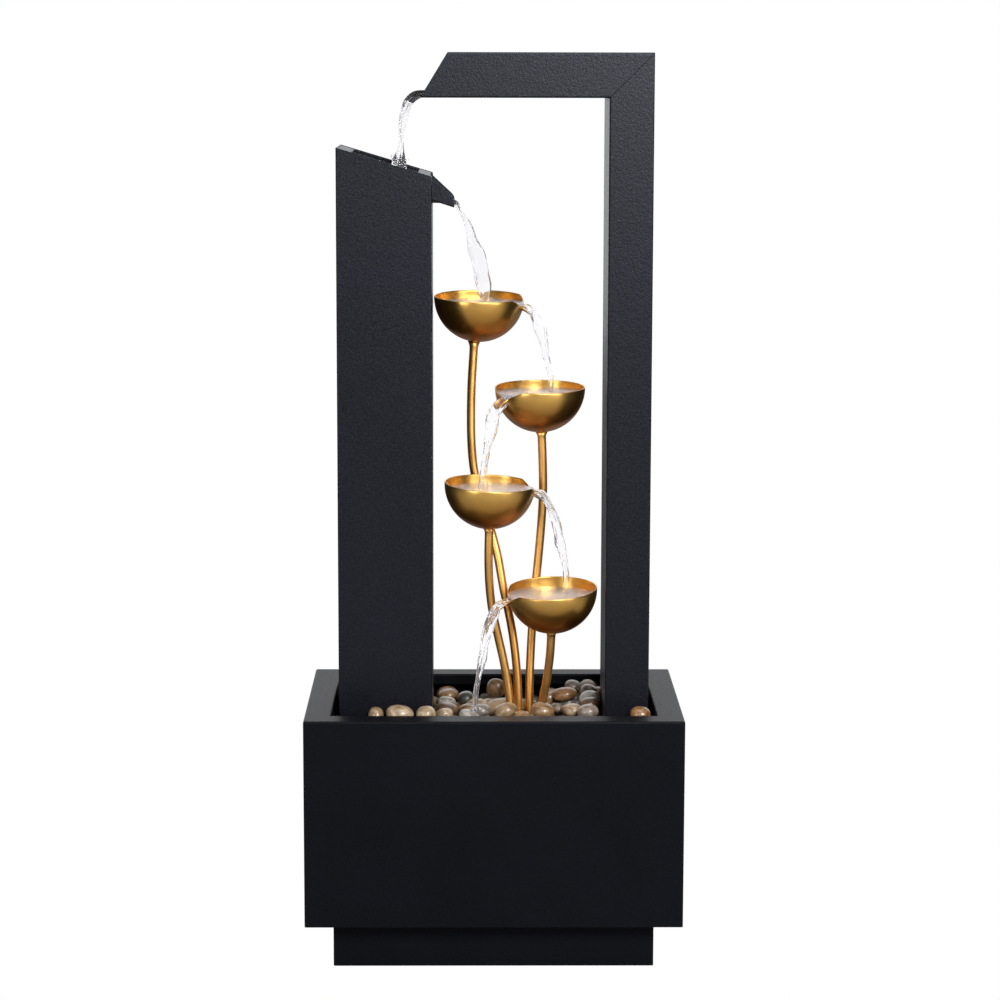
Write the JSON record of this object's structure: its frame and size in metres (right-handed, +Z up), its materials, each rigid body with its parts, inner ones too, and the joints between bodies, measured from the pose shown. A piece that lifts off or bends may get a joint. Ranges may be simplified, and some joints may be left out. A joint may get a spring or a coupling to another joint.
{
  "type": "cascading bowl fountain",
  "caption": "Free-standing cascade fountain: pebble-filled sheet-metal basin, slanted pillar and arch, and tilted golden bowls on bent stems fed by a hidden pump",
  "frame": {"origin": "middle of the footprint on the floor", "axes": "+Z up, +X to the right seen from the front, -Y towards the front"},
  "size_m": [0.35, 0.23, 0.845],
  "materials": {
    "basin_black": "fine textured satin black powder coat",
    "column_black": "fine textured satin black powder coat, slightly blue",
    "gold": "satin golden lacquer over metal, brushed round the bowl",
    "stainless": "plain stainless sheet",
    "rubber": "matt black rubber",
    "river_stone": "wet polished river pebbles in mixed colours",
    "pump_plastic": "moulded dark plastic",
    "knob_plastic": "moulded blue plastic",
    "white_ceramic": "ground ceramic rod",
    "rotor": "moulded white plastic over a magnet",
    "clear_hose": "clear flexible hose"
  },
  "bodies": {
    "root": {"plinth": "basin_black", "basin_tank": "basin_black", "rim_frame": "basin_black", "pillar_shell": "column_black", "pillar_top_plate": "column_black", "pillar_chute": "column_black", "arch_column": "column_black", "arch_arm": "column_black", "arm_end_plate": "column_black", "arm_lip": "column_black", "bowl_1": "gold", "bowl_2": "gold", "bowl_3": "gold", "bowl_4": "gold", "stem_1": "gold", "stem_2": "gold", "stem_3": "gold", "stem_4": "gold", "tray_left": "stainless", "tray_right": "stainless", "arm_diffuser": "stainless", "stem_foot_plate": "stainless", "hose_clamp": "stainless", "floor_pad_1": "rubber", "floor_pad_2": "rubber", "floor_pad_3": "rubber", "floor_pad_4": "rubber", "cable_grommet": "rubber", "suction_cup_1": "rubber", "suction_cup_2": "rubber", "suction_cup_3": "rubber", "suction_cup_4": "rubber", "pebble_bed": "river_stone", "pebble_01": "river_stone", "pebble_02": "river_stone", "pebble_03": "river_stone", "pebble_04": "river_stone", "pebble_05": "river_stone", "pebble_06": "river_stone", "pebble_07": "river_stone", "pebble_08": "river_stone", "pebble_09": "river_stone", "pebble_10": "river_stone", "pebble_11": "river_stone", "pebble_12": "river_stone", "pebble_13": "river_stone", "pebble_14": "river_stone", "pebble_15": "river_stone", "pebble_16": "river_stone", "pebble_17": "river_stone", "pebble_18": "river_stone", "pump_body": "pump_plastic", "volute_cover": "pump_plastic", "outlet_elbow": "pump_plastic", "impeller_shaft": "white_ceramic", "supply_hose": "clear_hose"},
    "impeller_body": {"impeller": "rotor"},
    "strainer_body": {"strainer_cover": "pump_plastic"},
    "knob_body": {"flow_knob": "knob_plastic"}
  },
  "joints": [
    {"name": "impeller_spin", "type": "hinge", "parent": "root", "child": "impeller_body", "pos_m": [0, -0.008, 0.078], "axis": [0, 1, 0], "continuous": true},
    {"name": "strainer_slide", "type": "slide", "parent": "root", "child": "strainer_body", "axis": [0, -1, 0], "range_m": [0, 0.04]},
    {"name": "flow_knob_turn", "type": "hinge", "parent": "strainer_body", "child": "knob_body", "pos_m": [0, -0.046, 0.078], "axis": [0, -1, 0], "range_deg": [0, 90]}
  ]
}
